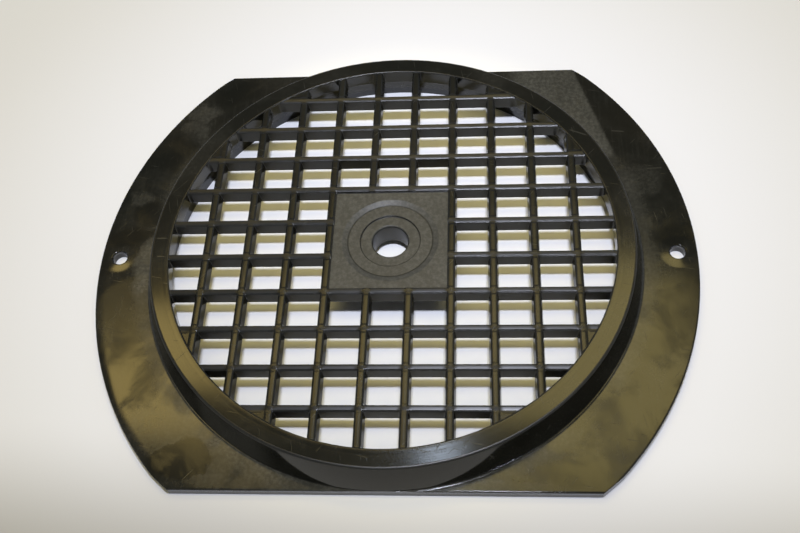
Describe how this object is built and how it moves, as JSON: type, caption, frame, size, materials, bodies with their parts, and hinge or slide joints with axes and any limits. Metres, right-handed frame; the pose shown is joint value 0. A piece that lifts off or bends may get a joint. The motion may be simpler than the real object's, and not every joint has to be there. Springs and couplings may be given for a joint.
{
  "type": "motor fan cover",
  "caption": "Flat motor fan cover with a square finger grille in a conical collar, a hub sleeve and a flange with screw holes at both ends.",
  "frame": {"origin": "on the axis of the hub bore, in the plane of the mounting face under the flange", "axes": "+Z along the hub bore, away from the motor; +X along the line of the two screw holes; +Y towards one of the two flats"},
  "size_m": [0.1794, 0.1468, 0.0126],
  "materials": {
    "cover_plastic": "semi-gloss moulded plastic, lightly scratched and dusty"
  },
  "bodies": {
    "root": {"fan_cover": "cover_plastic"}
  },
  "joints": []
}
